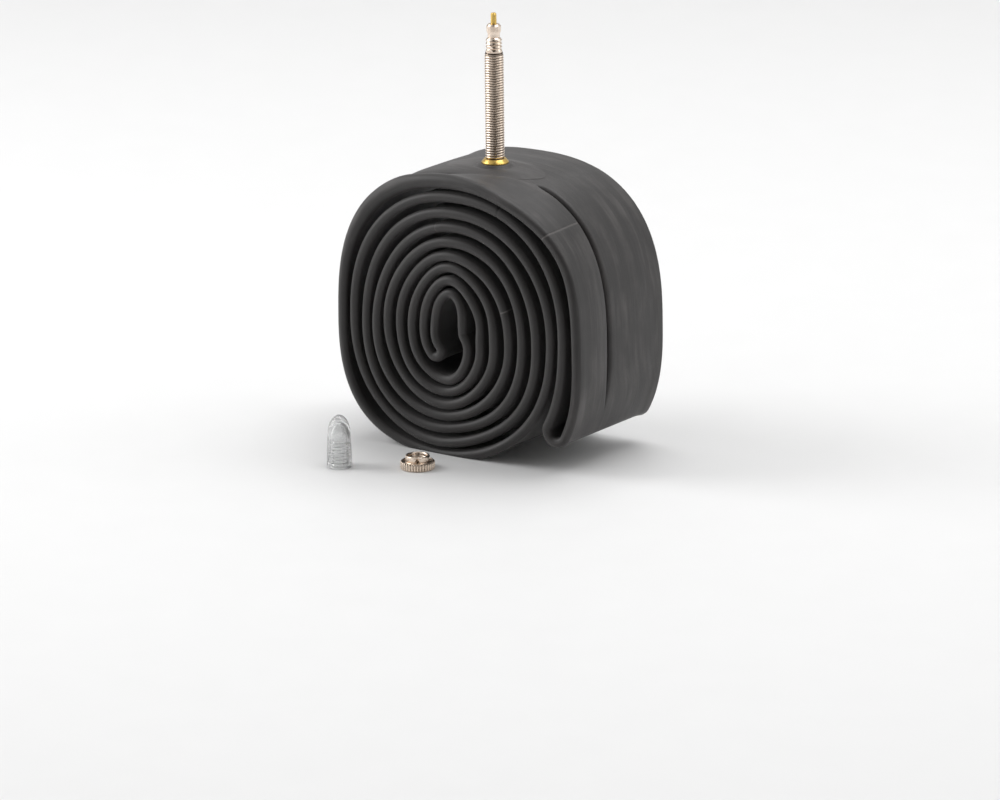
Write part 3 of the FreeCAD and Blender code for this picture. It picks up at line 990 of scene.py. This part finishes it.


def metal_material(name, colour, stain, roughness, grimy_and_shaded=False):
    """Plated or plain metal with fine drawing marks and slight tarnish, darker in its hollows where asked:
    dirtiness there, and painted shade.
    """
    material, tree, shader = new_material(name)
    source = object_coordinates(tree)
    cloud = scaled_noise(tree, source, (420, 420, 300), 3.0)
    marks = scaled_noise(tree, source, (900, 900, 5200), 3.0)
    mixed = mix_colours(tree, remap(tree, cloud, 0.35, 0.75, 0.0, 0.7), colour, stain)
    if grimy_and_shaded:
        # Dirtiness and painted shade in the hollows, from the stored attribute.
        dirty_and_shaded = remap(tree, attribute(tree, "grime_and_shade"), 0.45, 1.0, 0.0, GRIME_AND_SHADE_SHARE)
        mixed = mix_colours(tree, dirty_and_shaded, mixed, GRIME_AND_SHADE_COLOUR)
    tree.links.new(mixed, shader.inputs["Base Color"])
    shader.inputs["Metallic"].default_value = 1.0
    rough = remap(tree, marks, 0.3, 0.7, roughness - 0.05, roughness + 0.08)
    tree.links.new(rough, shader.inputs["Roughness"])
    add_bump(tree, shader, marks, 0.00001, 0.5)
    return material


def soft_part_material(name, colour, roughness):
    """Small moulded seals: plain coloured rubber with a fine grain."""
    material, tree, shader = new_material(name)
    source = object_coordinates(tree)
    grain = scaled_noise(tree, source, (2400, 2400, 2400), 3.0)
    darker = tuple(0.6 * channel for channel in colour)
    tree.links.new(mix_colours(tree, grain, darker, colour), shader.inputs["Base Color"])
    rough = remap(tree, grain, 0.3, 0.7, roughness - 0.08, roughness + 0.08)
    tree.links.new(rough, shader.inputs["Roughness"])
    add_bump(tree, shader, grain, 0.00003, 0.6)
    return material


CAP_CLEAR = (0.98, 0.98, 0.98)
CAP_MILK = (0.93, 0.94, 0.94)


def cap_material():
    """Natural polyethylene: pale, faintly cloudy and translucent."""
    material, tree, shader = new_material("cap_plastic")
    source = object_coordinates(tree)
    cloud = scaled_noise(tree, source, (260, 260, 160), 3.0)
    grain = scaled_noise(tree, source, (900, 900, 500), 3.0)
    tree.links.new(mix_colours(tree, cloud, CAP_MILK, CAP_CLEAR), shader.inputs["Base Color"])
    tree.links.new(remap(tree, grain, 0.3, 0.7, 0.10, 0.18), shader.inputs["Roughness"])
    shader.inputs["IOR"].default_value = 1.5
    shader.inputs["Transmission Weight"].default_value = 0.8
    add_bump(tree, shader, grain, 0.000006, 0.4)
    return material


def floor_material():
    """A plain pale studio floor."""
    material, tree, shader = new_material("studio_floor")
    source = object_coordinates(tree)
    grain = scaled_noise(tree, source, (60, 60, 60), 4.0)
    colour = mix_colours(tree, grain, (0.78, 0.78, 0.78), (0.80, 0.80, 0.80))
    tree.links.new(colour, shader.inputs["Base Color"])
    tree.links.new(remap(tree, grain, 0.3, 0.7, 0.6, 0.7), shader.inputs["Roughness"])
    return material


def dress(piece, material):
    """Give a piece one material in place of any it has."""
    piece.data.materials.clear()
    piece.data.materials.append(material)


# ---- Pieces on the frame ----

nickel = metal_material("nickel_plate", (0.85, 0.73, 0.62), (0.74, 0.60, 0.49), 0.22)
# Nickel darkened in its thread roots, knurls, bore and pits: dirtiness, and painted shade in those hollows.
grimy_shaded_nickel = metal_material("grimy_shaded_nickel", (0.86, 0.735, 0.62), (0.76, 0.62, 0.50), 0.26, grimy_and_shaded=True)
brass = metal_material("brass", (0.74, 0.51, 0.15), (0.56, 0.37, 0.09), 0.28)
seal_rubber = soft_part_material("seal_rubber", (0.03, 0.03, 0.032), 0.6)
gasket_rubber = soft_part_material("gasket_rubber", (0.32, 0.05, 0.04), 0.5)

PIECES = (
    (make_tube, "tube", "tube_body", "tube_rubber", tube_material()),
    (make_patch, "tube", "valve_patch", "patch_rubber", patch_material()),
    (make_stem, "tube", "valve_stem", "stem_nickel", grimy_shaded_nickel),
    (make_collar, "tube", "stem_collar", "collar_brass", brass),
    (make_rim_nut, "rim_nut", "rim_nut", "rim_nut_nickel", grimy_shaded_nickel),
    (make_dust_cap, "dust_cap", "dust_cap", "cap_plastic", cap_material()),
)
for make, body, node, slot, material in PIECES:
    piece = make()
    dress(piece, material)
    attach(piece, body)
    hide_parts(node)

CAD_FINISHES = {
    "core_body": nickel,
    "core_gasket": gasket_rubber,
    "core_pin": brass,
    "plunger_seal": seal_rubber,
    "seal_cup": brass,
    "thumb_nut": nickel,
}
for node, material in CAD_FINISHES.items():
    dress(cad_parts[node], material)

# ---- Studio ----

AIM = Vector((-0.022653, 0.033686, 0.001799))    # where the lens axis passes, behind the roll's foot
AZIMUTH = math.radians(34.873)
ELEVATION = math.radians(15.616)
ROLL = math.radians(0.633)
DISTANCE = 2.38306
LENS = 270.0
SENSOR = 36.0
DIM_NEAR = math.cos(math.radians(20.0))           # the room is dimmest up to here from the camera's azimuth
DIM_FAR = math.cos(math.radians(38.0))            # and full white from here
DIM_COLOUR = (0.12, 0.11, 0.10)
WORLD_STRENGTH = 0.6
FLOOR_HALF = 6.0
HEART = (0.0, 0.0, 0.06)                          # what the lamps point at


def add_camera():
    """A long lens, from the right of the front and a little above."""
    back = Vector((math.sin(AZIMUTH) * math.cos(ELEVATION),
                   -math.cos(AZIMUTH) * math.cos(ELEVATION),
                   math.sin(ELEVATION)))
    level = Vector((math.cos(AZIMUTH), math.sin(AZIMUTH), 0))
    upright = back.cross(level)
    right = level * math.cos(ROLL) - upright * math.sin(ROLL)
    up = level * math.sin(ROLL) + upright * math.cos(ROLL)
    camera = bpy.data.objects.new("camera", bpy.data.cameras.new("camera"))
    camera.data.lens = LENS
    camera.data.sensor_width = SENSOR
    camera.data.clip_start = 0.05
    camera.data.clip_end = 50.0
    turn = Matrix((right, up, back)).transposed().to_4x4()
    camera.matrix_world = Matrix.Translation(AIM + back * DISTANCE) @ turn
    bpy.context.scene.collection.objects.link(camera)
    bpy.context.scene.camera = camera


def add_area_light(name, spot, size, power):
    """A white soft box that points at the heart of the object."""
    light = bpy.data.lights.new(name, "AREA")
    light.shape = "RECTANGLE"
    light.size, light.size_y = size
    light.energy = power
    lamp = bpy.data.objects.new(name, light)
    lamp.location = spot
    lamp.rotation_euler = (Vector(HEART) - Vector(spot)).to_track_quat("-Z", "Y").to_euler()
    bpy.context.scene.collection.objects.link(lamp)


def add_floor():
    signs = ((-1, -1), (1, -1), (1, 1), (-1, 1))
    corners = [(x * FLOOR_HALF, y * FLOOR_HALF, 0) for x, y in signs]
    floor = mesh_object("studio_floor", np.array(corners) / MM, np.array([[0, 1, 2, 3]]), False)
    dress(floor, floor_material())


def add_world(dim_side):
    """A white room that is darker on one side, as behind a photographer: metal needs both to read."""
    world = bpy.data.worlds.new("studio")
    world.use_nodes = True
    tree = world.node_tree
    background = tree.nodes["Background"]
    direction = add_node(tree, "ShaderNodeTexCoord").outputs["Generated"]
    level = vector_maths(tree, "MULTIPLY", direction, (1.0, 1.0, 0.0))
    heading = vector_maths(tree, "NORMALIZE", level)
    facing = vector_maths(tree, "DOT_PRODUCT", heading, tuple(dim_side))
    shade = remap(tree, facing, DIM_FAR, DIM_NEAR)
    tree.links.new(mix_colours(tree, shade, WHITE, DIM_COLOUR), background.inputs["Color"])
    background.inputs["Strength"].default_value = WORLD_STRENGTH
    bpy.context.scene.world = world


add_camera()
add_floor()
bpy.context.scene.view_settings.view_transform = "Standard"
add_world((math.sin(AZIMUTH), -math.cos(AZIMUTH), 0.0))
add_area_light("left_box", (-0.95, -0.45, 0.6), (0.6, 1.0), 8.0)
add_area_light("right_box", (0.9, 0.65, 0.55), (0.5, 1.0), 1.8)
add_area_light("top_box", (0.1, 0.35, 1.2), (1.1, 0.8), 9.5)
